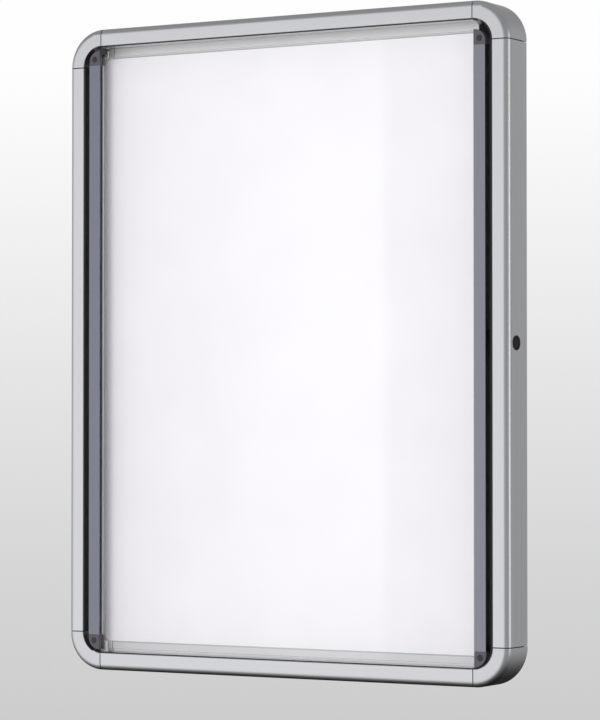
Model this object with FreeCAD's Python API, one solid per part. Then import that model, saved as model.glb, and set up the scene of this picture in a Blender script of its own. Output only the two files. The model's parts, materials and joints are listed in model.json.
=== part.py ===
import FreeCAD, Part
import math
import os

# A wall-hung notice board: a shallow aluminium case with moulded corners, a white magnetic back,
# and a clear door that swings on two pins at the left and locks into the right-hand side.
# Millimetres. X runs to the right, Y into the wall, Z up. The origin is the centre of the back.
# A depth is counted back from the front face, and an inset is counted in from the case's edge.

Vec = FreeCAD.Vector
UP = Vec(0, 0, 1)
BACKWARD = Vec(0, 1, 0)
RIGHTWARD = Vec(1, 0, 0)
ORIGIN = Vec(0, 0, 0)

# Case
case_width = 512.0
case_height = 666.0
corner_radius = 39.0
edge_radius = 6.5
lip_radius = 0.8
seam_gap = 0.6

# Section of the frame
frame_face = 18.0
frame_wall = 1.6
rail_front = 24.5
rail_thickness = 1.5
rail_reach = 29.0
groove_bottom = 13.5
web_thickness = 1.6
leg_height = 2.8

# Back panel, which the frame's groove holds all round
front_sheet_thickness = 0.6
core_thickness = 8.2
rear_sheet_thickness = 0.6
panel_play = 0.2
panel_edge_clearance = 0.5

# Corner pieces
corner_wall_angle = 9.0
spigot_length = 18.0
spigot_clearance = 0.15
ledge_width = 11.0
ledge_thickness = 2.0
corner_screw_inset = 9.0
corner_screw_radius = 1.5
corner_screw_head_radius = 3.0
corner_screw_head_height = 2.0
corner_screw_depth = 9.0
screw_clearance = 0.1

# Black seal round the inside of the opening
seal_thickness = 1.5
seal_setback = 1.0
seal_depth = 11.0
seal_hole_clearance = 0.5

# Wall fixings, through the side rails behind the door's stiles
fixing_hole_radius = 2.25
fixing_from_end = 90.0
sleeve_wall = 1.45
sleeve_clearance = 0.15
sleeve_to_leg = 0.2

# Door. It has no rails, so its stiles needn't match: the lock stile hangs a little lower.
door_side_gap = 7.0
hinge_top_gap = 4.5
hinge_bottom_gap = 3.5
lock_top_gap = 10.5
lock_bottom_gap = 2.0
pane_thickness = 3.0
pane_setback = 5.0
pane_end_clearance = 0.5
pane_side_clearance = 0.4
stile_width = 13.0
stile_depth = 11.0
stile_wall = 1.4
stile_chamber = 5.0
glazing_seal_width = 4.5

# End caps of the stiles
cap_height = 15.0
cap_corner_radius = 12.0
cap_slot_clearance = 0.1
cap_spigot_length = 12.0
dimple_from_end = 9.0
dimple_radius = 3.0
dimple_depth = 0.5
cap_screw_inset = 6.0
cap_screw_radius = 1.25
cap_screw_head_radius = 2.5
cap_screw_head_height = 1.4
cap_screw_length = 8.0

# Hinge pins, in line at the left
pin_radius = 1.4
pin_from_stile_edge = 7.0
pin_setback = 2.5
pin_clearance = 0.05
press_clearance = 0.02
bush_wall = 0.8
bush_drop = 1.2
spare_bush_drop = 6.0
bush_length = 10.0
boss_wall = 1.6
boss_height = 12.0
upper_pin_in_cap = 10.0
upper_pin_in_bush = 6.0
lower_pin_in_cap = 2.8
lower_pin_in_corner = 9.0
washer_radius = 3.0
washer_thickness = 0.5
washer_clearance = 0.1

# Clip that stops the closed door from being lifted off its lower pin
clip_thickness = 2.0
clip_setback = 0.2
clip_depth = 8.5
clip_tail = 2.2
clip_tab_width = 6.0
clip_tab_drop = 4.5
clip_tab_clearance = 0.2

# Rubber buffers behind the lock stile
buffer_radius = 2.0
buffer_clearance = 0.1
buffer_height = 2.8
buffer_inset = 10.0
buffer_end = 8.0

# Lock, through the middle of the right-hand side
lock_before_rail = 8.0
barrel_head_radius = 7.2
barrel_head_height = 0.8
barrel_radius = 6.0
barrel_past_nut = 0.6
barrel_clearance = 0.1
plug_radius = 4.05
plug_clearance = 0.05
plug_setback = 0.3
plug_past_barrel = 0.4
keyway_width = 1.2
keyway_height = 6.0
keyway_depth = 4.0
nut_across_flats = 15.0
nut_thickness = 2.0
drive_side = 5.0
drive_clearance = 0.05
cam_thickness = 2.0
cam_gap = 0.2
cam_width = 8.0
cam_hub_radius = 5.8
cam_length = 14.5
cam_screw_radius = 1.5
cam_screw_head_radius = 3.4
cam_screw_head_height = 1.6
cam_screw_length = 7.0

# Keeper on the lock stile, whose lip stands behind the turned cam
keeper_thickness = 1.5
keeper_above_lock = 7.0
keeper_lip_height = 10.0
keeper_base_height = 26.0
keeper_base_width = 10.0
keeper_cam_gap = 1.0
keeper_lip_gap = 0.3
keeper_lip_past_cam = 0.3
keeper_screw_radius = 1.5
keeper_screw_head_radius = 2.6
keeper_screw_head_height = 1.8
keeper_screw_length = 6.0
keeper_screw_end = 6.5

# Depths that follow from the sizes above
panel_front = rail_front + rail_thickness
core_front = panel_front + front_sheet_thickness
rear_sheet_front = core_front + core_thickness
panel_back = rear_sheet_front + rear_sheet_thickness
web_front = panel_back + panel_play
web_back = web_front + web_thickness
case_depth = web_back + leg_height
pane_back = pane_setback + pane_thickness
lock_depth = rail_front - lock_before_rail
ledge_front = stile_depth + buffer_clearance + buffer_height

# Insets that follow from the sizes above
stile_outer = frame_face + door_side_gap
stile_inner = stile_outer + stile_width
hinge_top = frame_face + hinge_top_gap
hinge_bottom = frame_face + hinge_bottom_gap
lock_top = frame_face + lock_top_gap
lock_bottom = frame_face + lock_bottom_gap
web_inner = stile_wall + stile_chamber + stile_wall
pane_inset = stile_outer + web_inner + pane_side_clearance
chamber_inset = stile_outer + stile_wall + stile_chamber / 2
pivot_inset = stile_outer + pin_from_stile_edge
bush_radius = pin_radius + pin_clearance + bush_wall
bush_end = frame_face + bush_drop
spare_bush_end = frame_face + spare_bush_drop
washer_seat = hinge_bottom - washer_thickness - washer_clearance
sleeve_radius = fixing_hole_radius + sleeve_wall
fixing_inset = rail_reach - frame_wall - sleeve_to_leg - sleeve_radius
opening_radius = corner_radius - frame_face
barrel_end = frame_face + nut_thickness + barrel_past_nut
plug_end = barrel_end + plug_past_barrel
cam_start = plug_end + cam_gap
cam_end = cam_start + cam_thickness


def left(inset):
    return inset - case_width / 2


def right(inset):
    return case_width / 2 - inset


def top(inset):
    return case_height / 2 - inset


def bottom(inset):
    return inset - case_height / 2


def deep(depth):
    return depth - case_depth


def block(x_ends, depths, z_ends):
    x0, x1 = sorted(x_ends)
    z0, z1 = sorted(z_ends)
    corner = Vec(x0, deep(depths[0]), z0)
    return Part.makeBox(x1 - x0, depths[1] - depths[0], z1 - z0, corner)


def rod_up(x, depth, z_ends, radius):
    z0, z1 = sorted(z_ends)
    return Part.makeCylinder(radius, z1 - z0, Vec(x, deep(depth), z0), UP)


def rod_back(x, depths, z, radius):
    return Part.makeCylinder(radius, depths[1] - depths[0], Vec(x, deep(depths[0]), z), BACKWARD)


def rod_right(x_ends, depth, z, radius):
    x0, x1 = sorted(x_ends)
    return Part.makeCylinder(radius, x1 - x0, Vec(x0, deep(depth), z), RIGHTWARD)


def fuse(shapes):
    joined = shapes[0].multiFuse(shapes[1:])
    return joined.removeSplitter()


def mirrored(shape):
    """The same piece on the other side of the case."""
    return shape.mirror(ORIGIN, RIGHTWARD)


def line(start, end):
    return Part.LineSegment(start, end).toShape()


def arc_about(centre, radius, first_degrees, last_degrees, place):
    """An arc in the section plane or the front plane; place turns two numbers into a point."""
    points = []
    for share in (0.0, 0.5, 1.0):
        angle = math.radians(first_degrees + share * (last_degrees - first_degrees))
        across = centre[0] + radius * math.cos(angle)
        along = centre[1] + radius * math.sin(angle)
        points.append(place(across, along))
    return Part.Arc(*points).toShape()


def section_point(inset, depth):
    return Vec(inset, deep(depth), 0)


def closed_face(points, edges):
    """A face from a run of corner points, closed by the given edges from the last to the first."""
    runs = [line(start, end) for start, end in zip(points, points[1:])]
    return Part.Face(Part.Wire(Part.__sortEdges__(runs + edges)))


def frame_section():
    r = edge_radius
    lip = lip_radius
    inner_leg = rail_reach - frame_wall
    corners = [
        (frame_face, lip),
        (frame_face, rail_front),
        (rail_reach, rail_front),
        (rail_reach, panel_front),
        (groove_bottom, panel_front),
        (groove_bottom, web_front),
        (rail_reach, web_front),
        (rail_reach, case_depth),
        (inner_leg, case_depth),
        (inner_leg, web_back),
        (frame_wall, web_back),
        (frame_wall, case_depth),
        (0, case_depth),
        (0, r),
    ]
    points = [section_point(*corner) for corner in corners]
    outer_edge = arc_about((r, r), r, 180, 270, section_point)
    front_face = line(section_point(r, 0), section_point(frame_face - lip, 0))
    inner_edge = arc_about((frame_face - lip, lip), lip, 270, 360, section_point)
    return closed_face(points, [outer_edge, front_face, inner_edge])


def front_chamber(clearance):
    """The hollow behind the front face, or a spigot's section where a clearance is given."""
    near = frame_wall + clearance
    far = frame_face - near
    back = rail_front - clearance
    corners = [(edge_radius, near), (far, near), (far, back), (near, back), (near, edge_radius)]
    points = [section_point(*corner) for corner in corners]
    rounding = arc_about((edge_radius, edge_radius), edge_radius - near, 180, 270, section_point)
    return closed_face(points, [rounding])


def rear_chamber(clearance):
    near = frame_wall + clearance
    far = groove_bottom - near
    front = panel_front + clearance
    back = web_front - clearance
    corners = [(near, front), (far, front), (far, back), (near, back), (near, front)]
    points = [section_point(*corner) for corner in corners]
    return closed_face(points, [])


def turned(shape, degrees, offset):
    """A piece drawn at the left side, turned about the depth axis and moved to its own side."""
    copy = shape.copy()
    copy.rotate(ORIGIN, BACKWARD, degrees)
    copy.translate(offset)
    return copy


SIDES = {
    "left": (0, Vec(left(0), 0, 0), case_height),
    "top": (90, Vec(0, 0, top(0)), case_width),
    "right": (180, Vec(right(0), 0, 0), case_height),
    "bottom": (270, Vec(0, 0, bottom(0)), case_width),
}

CORNERS = {
    "top_left": (0, Vec(left(corner_radius), 0, top(corner_radius))),
    "top_right": (90, Vec(right(corner_radius), 0, top(corner_radius))),
    "bottom_right": (180, Vec(right(corner_radius), 0, bottom(corner_radius))),
    "bottom_left": (270, Vec(left(corner_radius), 0, bottom(corner_radius))),
}


def frame_bar(side):
    degrees, offset, full_length = SIDES[side]
    length = full_length - 2 * corner_radius - 2 * seam_gap
    solid = frame_section().extrude(UP * length)
    for hollow in (front_chamber(0), rear_chamber(0)):
        solid = solid.cut(hollow.extrude(UP * length))
    solid.translate(UP * (-length / 2))
    return turned(solid, degrees, offset)


def corner_screws_of(side, radius, head_radius):
    """Two screws at the ends of one side; with no head they serve as the drill."""
    degrees, offset, full_length = SIDES[side]
    reach = full_length / 2 - corner_radius - corner_screw_inset
    inset = groove_bottom / 2
    found = []
    for z in (-reach, reach):
        screw = rod_back(inset, (web_back - corner_screw_depth, web_back), z, radius)
        if head_radius:
            head = rod_back(inset, (web_back, web_back + corner_screw_head_height), z, head_radius)
            screw = fuse([screw, head])
        found.append(turned(screw, degrees, offset))
    return found


def corner_screw_drills():
    drills = []
    for side in SIDES:
        drills += corner_screws_of(side, corner_screw_radius + screw_clearance, 0)
    return drills


def swept(face, first_degrees, degrees):
    """A section turned about the centre of the corner's curve."""
    axis = Vec(corner_radius, 0, 0)
    start = face.copy()
    start.rotate(axis, BACKWARD, first_degrees)
    return start.revolve(axis, BACKWARD, degrees)


def corner_body():
    """A hollow curved shell with its spigots and a ledge; the curve's centre is at the origin."""
    body = swept(frame_section(), 0, 90)
    inside = 90 - 2 * corner_wall_angle
    for hollow in (front_chamber(0), rear_chamber(0)):
        body = body.cut(swept(hollow, corner_wall_angle, inside))
    parts = [body]
    for section in (front_chamber(spigot_clearance), rear_chamber(spigot_clearance)):
        parts.append(section.extrude(UP * -spigot_length))
        across = section.extrude(UP * spigot_length)
        across.rotate(Vec(corner_radius, 0, 0), BACKWARD, 90)
        parts.append(across)
    depths = (ledge_front, ledge_front + ledge_thickness)
    ledge_points = [
        section_point(frame_face - frame_wall, depths[0]),
        section_point(frame_face + ledge_width, depths[0]),
        section_point(frame_face + ledge_width, depths[1]),
        section_point(frame_face - frame_wall, depths[1]),
        section_point(frame_face - frame_wall, depths[0]),
    ]
    parts.append(swept(closed_face(ledge_points, []), 0, 90))
    corner = fuse(parts)
    corner.translate(Vec(-corner_radius, 0, 0))
    return corner


def pivot_boss(x, z_ends, radius):
    """A disc round the pivot's line, cut off flush with the front face."""
    front = block((left(0), right(0)), (-radius, 0), z_ends)
    return rod_up(x, pin_setback, z_ends, radius).cut(front)


def corner_piece(name, body, drills):
    degrees, offset = CORNERS[name]
    corner = turned(body, degrees, offset)
    if name.startswith("top"):
        x = left(pivot_inset) if name == "top_left" else right(pivot_inset)
        end = bush_end if name == "top_left" else spare_bush_end
        boss_z = (top(frame_face), top(frame_face - boss_height))
        socket_z = (top(corner_radius), top(end - bush_length))
        corner = fuse([corner, pivot_boss(x, boss_z, bush_radius + boss_wall)])
        corner = corner.cut(rod_up(x, pin_setback, socket_z, bush_radius + press_clearance))
    if name == "bottom_left":
        x = left(pivot_inset)
        boss_z = (bottom(washer_seat), bottom(washer_seat - boss_height))
        spot_face_z = (bottom(washer_seat), bottom(hinge_bottom))
        corner = fuse([corner, pivot_boss(x, boss_z, pin_radius + boss_wall)])
        corner = corner.cut(rod_up(x, pin_setback, spot_face_z, washer_radius + washer_clearance))
        corner = corner.cut(rod_up(x, pin_setback, lower_pin_ends(), pin_radius + press_clearance))
    return corner.cut(Part.makeCompound(drills))


def lower_pin_ends():
    return bottom(washer_seat - lower_pin_in_corner), bottom(hinge_bottom + lower_pin_in_cap)


def case_plate(inset, depths):
    """A plate whose outline runs parallel to the case's, with its corners rounded to suit."""
    radius = corner_radius - inset
    x = case_width / 2 - corner_radius
    z = case_height / 2 - corner_radius
    y = deep(depths[0])

    def front_point(across, along):
        return Vec(across, y, along)

    edges = []
    for first, sx, sz in ((0, 1, 1), (90, -1, 1), (180, -1, -1), (270, 1, -1)):
        edges.append(arc_about((sx * x, sz * z), radius, first, first + 90, front_point))
    edges.append(line(Vec(x + radius, y, -z), Vec(x + radius, y, z)))
    edges.append(line(Vec(x, y, z + radius), Vec(-x, y, z + radius)))
    edges.append(line(Vec(-x - radius, y, z), Vec(-x - radius, y, -z)))
    edges.append(line(Vec(-x, y, -z - radius), Vec(x, y, -z - radius)))
    face = Part.Face(Part.Wire(Part.__sortEdges__(edges)))
    return face.extrude(BACKWARD * (depths[1] - depths[0]))


def fixing_rods(depths, radius):
    rods = []
    for x in (left(fixing_inset), right(fixing_inset)):
        for z in (bottom(fixing_from_end), top(fixing_from_end)):
            rods.append(rod_back(x, depths, z, radius))
    return rods


def side_bar(side):
    """A side of the frame, with its wall fixing holes."""
    bar = frame_bar(side)
    through_rail = fixing_rods((rail_front, panel_front), fixing_hole_radius)
    through_web = fixing_rods((web_front, web_back), sleeve_radius + sleeve_clearance)
    return bar.cut(Part.makeCompound(through_rail + through_web))


def right_bar():
    """The lock's side, bored through both walls of the front chamber."""
    hole = rod_right((right(0), right(frame_face)), lock_depth, 0, barrel_radius + barrel_clearance)
    return side_bar("right").cut(hole)


def panel_layer(depths):
    plate = case_plate(groove_bottom + panel_edge_clearance, depths)
    holes = fixing_rods(depths, sleeve_radius + sleeve_clearance)
    return plate.cut(Part.makeCompound(holes))


def fixing_sleeves():
    sleeves = []
    outers = fixing_rods((panel_front, case_depth), sleeve_radius)
    bores = fixing_rods((panel_front, case_depth), fixing_hole_radius)
    for outer, bore in zip(outers, bores):
        sleeves.append(outer.cut(bore))
    return Part.makeCompound(sleeves)


def opening_seal():
    """Black strips down both sides of the opening. At the lock side they turn the corners too."""
    depths = (seal_setback, seal_setback + seal_depth)
    ring = case_plate(frame_face, depths).cut(case_plate(frame_face + seal_thickness, depths))
    not_lock_side = (left(0), right(corner_radius))
    notches = [
        block(not_lock_side, (0, case_depth), (top(0), top(corner_radius))),
        block(not_lock_side, (0, case_depth), (bottom(0), bottom(corner_radius))),
    ]
    bush_z = (top(0), top(corner_radius))
    bush_room = bush_radius + seal_hole_clearance
    notches.append(rod_up(right(pivot_inset), pin_setback, bush_z, bush_room))
    nut_room = nut_across_flats / math.sqrt(3) + seal_hole_clearance
    notches.append(rod_right((right(0), right(stile_outer)), lock_depth, 0, nut_room))
    return ring.cut(Part.makeCompound(notches))


def buffers():
    found = []
    depths = (ledge_front - buffer_height, ledge_front)
    x = right(frame_face + buffer_inset)
    for z in (top(lock_top + buffer_end), bottom(lock_bottom + buffer_end)):
        found.append(rod_back(x, depths, z, buffer_radius))
    return Part.makeCompound(found)


def upper_bushes():
    """One at each side, because the corner pieces suit a door hung at the left or the right."""
    found = []
    for x, end in ((left(pivot_inset), bush_end), (right(pivot_inset), spare_bush_end)):
        ends = (top(end), top(end - bush_length))
        outer = rod_up(x, pin_setback, ends, bush_radius)
        found.append(outer.cut(rod_up(x, pin_setback, ends, pin_radius + pin_clearance)))
    return Part.makeCompound(found)


def upper_pin_ends():
    return top(hinge_top + upper_pin_in_cap), top(bush_end - upper_pin_in_bush)


def upper_pin():
    """Fixed in the door's top cap, and turns in the bush above it."""
    return rod_up(left(pivot_inset), pin_setback, upper_pin_ends(), pin_radius)


def lower_pin():
    """Stands up from the bottom corner into the door's bottom cap, which turns on it."""
    return rod_up(left(pivot_inset), pin_setback, lower_pin_ends(), pin_radius)


def hinge_washer():
    """Carries the door on the bottom corner."""
    ends = (bottom(hinge_bottom - washer_thickness), bottom(hinge_bottom))
    disc = pivot_boss(left(pivot_inset), ends, washer_radius)
    return disc.cut(rod_up(left(pivot_inset), pin_setback, ends, pin_radius + pin_clearance))


def stile_chamber_block(clearance, z_ends):
    x_ends = (left(stile_outer + stile_wall + clearance),
              left(stile_outer + stile_wall + stile_chamber - clearance))
    return block(x_ends, (stile_wall + clearance, stile_depth - stile_wall - clearance), z_ends)


def end_insets(side):
    """How far one stile's bottom and top caps stand from the case's edges."""
    return (hinge_bottom, hinge_top) if side == "hinge" else (lock_bottom, lock_top)


def stile_ends(side):
    low, high = end_insets(side)
    return bottom(low + cap_height), top(high + cap_height)


def stile(side):
    """A box with two flanges, between which the pane and its seals sit; drawn at the left."""
    ends = stile_ends(side)
    outer = block((left(stile_outer), left(stile_inner)), (0, stile_depth), ends)
    channel = block((left(stile_outer + web_inner), left(stile_inner)),
                    (stile_wall, stile_depth - stile_wall), ends)
    shell = outer.cut(channel).cut(stile_chamber_block(0, ends))
    return shell.cut(Part.makeCompound(cap_screw_rods(side, cap_screw_radius + screw_clearance)))


def keeper_screw_heights():
    base = keeper_above_lock
    return base + keeper_screw_end, base + keeper_base_height - keeper_screw_end


def lock_stile():
    drills = []
    for z in keeper_screw_heights():
        depths = (stile_depth / 2, stile_depth)
        radius = keeper_screw_radius + screw_clearance
        drills.append(rod_back(right(chamber_inset), depths, z, radius))
    return mirrored(stile("lock")).cut(Part.makeCompound(drills))


def glazing_seals(side):
    ends = stile_ends(side)
    x_ends = (left(stile_inner - glazing_seal_width), left(stile_inner))
    front = block(x_ends, (stile_wall, pane_setback), ends)
    back = block(x_ends, (pane_back, stile_depth - stile_wall), ends)
    return Part.makeCompound([front, back])


def pane():
    z_ends = (bottom(hinge_bottom + pane_end_clearance), top(lock_top + pane_end_clearance))
    return block((left(pane_inset), right(pane_inset)), (pane_setback, pane_back), z_ends)


def cap_screw_heights(side):
    low, high = stile_ends(side)
    return low + cap_screw_inset, high - cap_screw_inset


def cap_screw_rods(side, radius):
    depths = (stile_depth - cap_screw_length, stile_depth)
    return [rod_back(left(chamber_inset), depths, z, radius) for z in cap_screw_heights(side)]


def cap_screws():
    depths = (stile_depth, stile_depth + cap_screw_head_height)
    found = []
    for side in ("hinge", "lock"):
        for shank, z in zip(cap_screw_rods(side, cap_screw_radius), cap_screw_heights(side)):
            head = rod_back(left(chamber_inset), depths, z, cap_screw_head_radius)
            screw = fuse([shank, head])
            found.append(screw if side == "hinge" else mirrored(screw))
    return Part.makeCompound(found)


def end_cap(side, place_z):
    """A cap on one end of a stile, drawn at the left; place_z is top or bottom."""
    end_inset = end_insets(side)[1 if place_z is top else 0]
    x = left(stile_outer)
    y = deep(0)
    radius = cap_corner_radius
    width = stile_width
    outward = 1 if place_z is top else -1

    def front_point(across, up):
        return Vec(x + across, y, place_z(end_inset) + outward * up)

    points = [
        front_point(radius, 0),
        front_point(width, 0),
        front_point(width, -cap_height),
        front_point(0, -cap_height),
        front_point(0, -radius),
    ]
    rounding = arc_about((radius, -radius), radius, 180, 90, front_point)
    cap = closed_face(points, [rounding]).extrude(BACKWARD * stile_depth)
    z_ends = (place_z(end_inset), place_z(end_inset + cap_height))
    slot_depths = (pane_setback - cap_slot_clearance, pane_back + cap_slot_clearance)
    slot = block((left(pane_inset - cap_slot_clearance), left(stile_inner)), slot_depths, z_ends)
    dimple_z = place_z(end_inset + dimple_from_end)
    dimple = rod_back(x + width / 2, (0, dimple_depth), dimple_z, dimple_radius)
    cap = cap.cut(slot).cut(dimple)
    spigot_z = (z_ends[1], place_z(end_inset + cap_height + cap_spigot_length))
    cap = fuse([cap, stile_chamber_block(spigot_clearance, spigot_z)])
    cap = cap.cut(Part.makeCompound(cap_screw_rods(side, cap_screw_radius + screw_clearance)))
    return cap if side == "hinge" else mirrored(cap)


def hinge_top_cap():
    hole = rod_up(left(pivot_inset), pin_setback, upper_pin_ends(), pin_radius + press_clearance)
    return end_cap("hinge", top).cut(hole)


def hinge_bottom_cap():
    hole = rod_up(left(pivot_inset), pin_setback, lower_pin_ends(), pin_radius + pin_clearance)
    return end_cap("hinge", bottom).cut(hole)


def lift_stop_clip():
    """Slides on to the pin over the top cap; its tab hangs beside the cap, over the pane."""
    z_ends = (top(hinge_top), top(hinge_top - clip_thickness))
    depths = (clip_setback, clip_setback + clip_depth)
    tab_start = stile_inner + clip_tab_clearance
    x_ends = (left(pivot_inset - clip_tail), left(tab_start + clip_tab_width))
    plate = block(x_ends, depths, z_ends)
    slot_half = pin_radius + clip_tab_clearance
    slot_depths = (pin_setback - slot_half, pin_setback + slot_half)
    slot = block((left(pivot_inset - clip_tail), left(pivot_inset)), slot_depths, z_ends)
    seat = rod_up(left(pivot_inset), pin_setback, z_ends, slot_half)
    tab_depths = (depths[0], pane_setback - clip_tab_clearance)
    tab_z = (top(hinge_top), top(hinge_top + clip_tab_drop))
    tab = block((left(tab_start), x_ends[1]), tab_depths, tab_z)
    return fuse([plate.cut(slot).cut(seat), tab])


def square_rod(x_ends, side_length):
    half = side_length / 2
    return block(x_ends, (lock_depth - half, lock_depth + half), (-half, half))


def lock_barrel():
    head = rod_right((right(-barrel_head_height), right(0)), lock_depth, 0, barrel_head_radius)
    body = rod_right((right(0), right(barrel_end)), lock_depth, 0, barrel_radius)
    ends = (right(-barrel_head_height), right(barrel_end))
    bore = rod_right(ends, lock_depth, 0, plug_radius + plug_clearance)
    return fuse([head, body]).cut(bore)


def lock_nut():
    circle = nut_across_flats / math.sqrt(3)
    corners = []
    for step in range(7):
        angle = math.radians(60 * step + 30)
        y = deep(lock_depth) + circle * math.cos(angle)
        corners.append(Vec(right(frame_face + nut_thickness), y, circle * math.sin(angle)))
    nut = closed_face(corners, []).extrude(RIGHTWARD * nut_thickness)
    ends = (right(frame_face), right(frame_face + nut_thickness))
    return nut.cut(rod_right(ends, lock_depth, 0, barrel_radius + press_clearance))


def lock_plug():
    face = right(plug_setback - barrel_head_height)
    body = rod_right((face, right(plug_end)), lock_depth, 0, plug_radius)
    drive = square_rod((right(plug_end), right(cam_end)), drive_side)
    key_depths = (lock_depth - keyway_width / 2, lock_depth + keyway_width / 2)
    key_ends = (-keyway_height / 2, keyway_height / 2)
    keyway = block((face, face - keyway_depth), key_depths, key_ends)
    thread = rod_right((right(cam_end), right(cam_end - cam_screw_length)), lock_depth, 0,
                       cam_screw_radius + press_clearance)
    return fuse([body, drive]).cut(keyway).cut(thread)


def lock_cam():
    """Points down while the door is free; half a turn brings it up in front of the keeper."""
    x_ends = (right(cam_start), right(cam_end))
    hub = rod_right(x_ends, lock_depth, 0, cam_hub_radius)
    half = cam_width / 2
    arm = block(x_ends, (lock_depth - half, lock_depth + half), (half - cam_length, 0))
    tip = rod_right(x_ends, lock_depth, half - cam_length, half)
    return fuse([hub, arm, tip]).cut(square_rod(x_ends, drive_side + 2 * drive_clearance))


def cam_screw():
    head_ends = (right(cam_end), right(cam_end + cam_screw_head_height))
    shank_ends = (right(cam_end), right(cam_end - cam_screw_length))
    head = rod_right(head_ends, lock_depth, 0, cam_screw_head_radius)
    return fuse([head, rod_right(shank_ends, lock_depth, 0, cam_screw_radius)])


def lock_keeper():
    """An angled plate screwed to the back of the lock stile."""
    web_outer = cam_end + keeper_cam_gap
    web_inner_side = web_outer + keeper_thickness
    lip_front = lock_depth + cam_width / 2 + keeper_lip_gap
    base_z = (keeper_above_lock, keeper_above_lock + keeper_base_height)
    lip_z = (keeper_above_lock, keeper_above_lock + keeper_lip_height)
    base_depths = (stile_depth, stile_depth + keeper_thickness)
    base = block((right(web_outer), right(web_outer + keeper_base_width)), base_depths, base_z)
    web_depths = (stile_depth, lip_front + keeper_thickness)
    web = block((right(web_outer), right(web_inner_side)), web_depths, lip_z)
    lip_depths = (lip_front, lip_front + keeper_thickness)
    lip = block((right(cam_start - keeper_lip_past_cam), right(web_inner_side)), lip_depths, lip_z)
    keeper = fuse([base, web, lip])
    holes = []
    for z in keeper_screw_heights():
        radius = keeper_screw_radius + screw_clearance
        holes.append(rod_back(right(chamber_inset), base_depths, z, radius))
    return keeper.cut(Part.makeCompound(holes))


def keeper_screws():
    found = []
    seat = stile_depth + keeper_thickness
    for z in keeper_screw_heights():
        shank_depths = (seat - keeper_screw_length, seat)
        head_depths = (seat, seat + keeper_screw_head_height)
        shank = rod_back(right(chamber_inset), shank_depths, z, keeper_screw_radius)
        head = rod_back(right(chamber_inset), head_depths, z, keeper_screw_head_radius)
        found.append(fuse([shank, head]))
    return Part.makeCompound(found)


def all_corner_screws():
    screws = []
    for side in SIDES:
        screws += corner_screws_of(side, corner_screw_radius, corner_screw_head_radius)
    return Part.makeCompound(screws)


def build():
    drills = corner_screw_drills()
    drilled = Part.makeCompound(drills)
    body = corner_body()
    nodes = {
        "frame_top": frame_bar("top").cut(drilled),
        "frame_bottom": frame_bar("bottom").cut(drilled),
        "frame_left": side_bar("left").cut(drilled),
        "frame_right": right_bar().cut(drilled),
        "magnetic_sheet": panel_layer((panel_front, core_front)),
        "core_board": panel_layer((core_front, rear_sheet_front)),
        "rear_sheet": panel_layer((rear_sheet_front, panel_back)),
        "opening_seal": opening_seal(),
        "corner_screws": all_corner_screws(),
        "fixing_sleeves": fixing_sleeves(),
        "door_buffers": buffers(),
        "hinge_bushes": upper_bushes(),
        "hinge_washer": hinge_washer(),
        "lower_hinge_pin": lower_pin(),
        "lock_barrel": lock_barrel(),
        "lock_nut": lock_nut(),
        "door_pane": pane(),
        "hinge_stile": stile("hinge"),
        "lock_stile": lock_stile(),
        "hinge_side_seals": glazing_seals("hinge"),
        "lock_side_seals": mirrored(glazing_seals("lock")),
        "cap_hinge_top": hinge_top_cap(),
        "cap_hinge_bottom": hinge_bottom_cap(),
        "cap_lock_top": end_cap("lock", top),
        "cap_lock_bottom": end_cap("lock", bottom),
        "cap_screws": cap_screws(),
        "upper_hinge_pin": upper_pin(),
        "lift_stop_clip": lift_stop_clip(),
        "lock_keeper": lock_keeper(),
        "keeper_screws": keeper_screws(),
        "lock_plug": lock_plug(),
        "lock_cam": lock_cam(),
        "cam_screw": cam_screw(),
    }
    for name in CORNERS:
        nodes["corner_" + name] = corner_piece(name, body, drills)
    return nodes


os.makedirs("parts", exist_ok=True)
for node, shape in build().items():
    shape.exportStep(os.path.join("parts", node + ".step"))
    print(node, "solids", len(shape.Solids), "volume", round(shape.Volume, 1), shape.isValid())
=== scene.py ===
# %% [markdown]
# # A lockable notice board
# The board is a shallow aluminium case with moulded corners. A clear door hangs in it on two
# pins, and a cam lock in the side holds the door shut. The measured solids come in ready made,
# so this lesson is about what a drawing doesn't hold: soft edges, rubber, screws and finishes.

# %% Load the measured model
import json
import math

import bmesh
import bpy
from mathutils import Matrix, Vector


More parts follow.
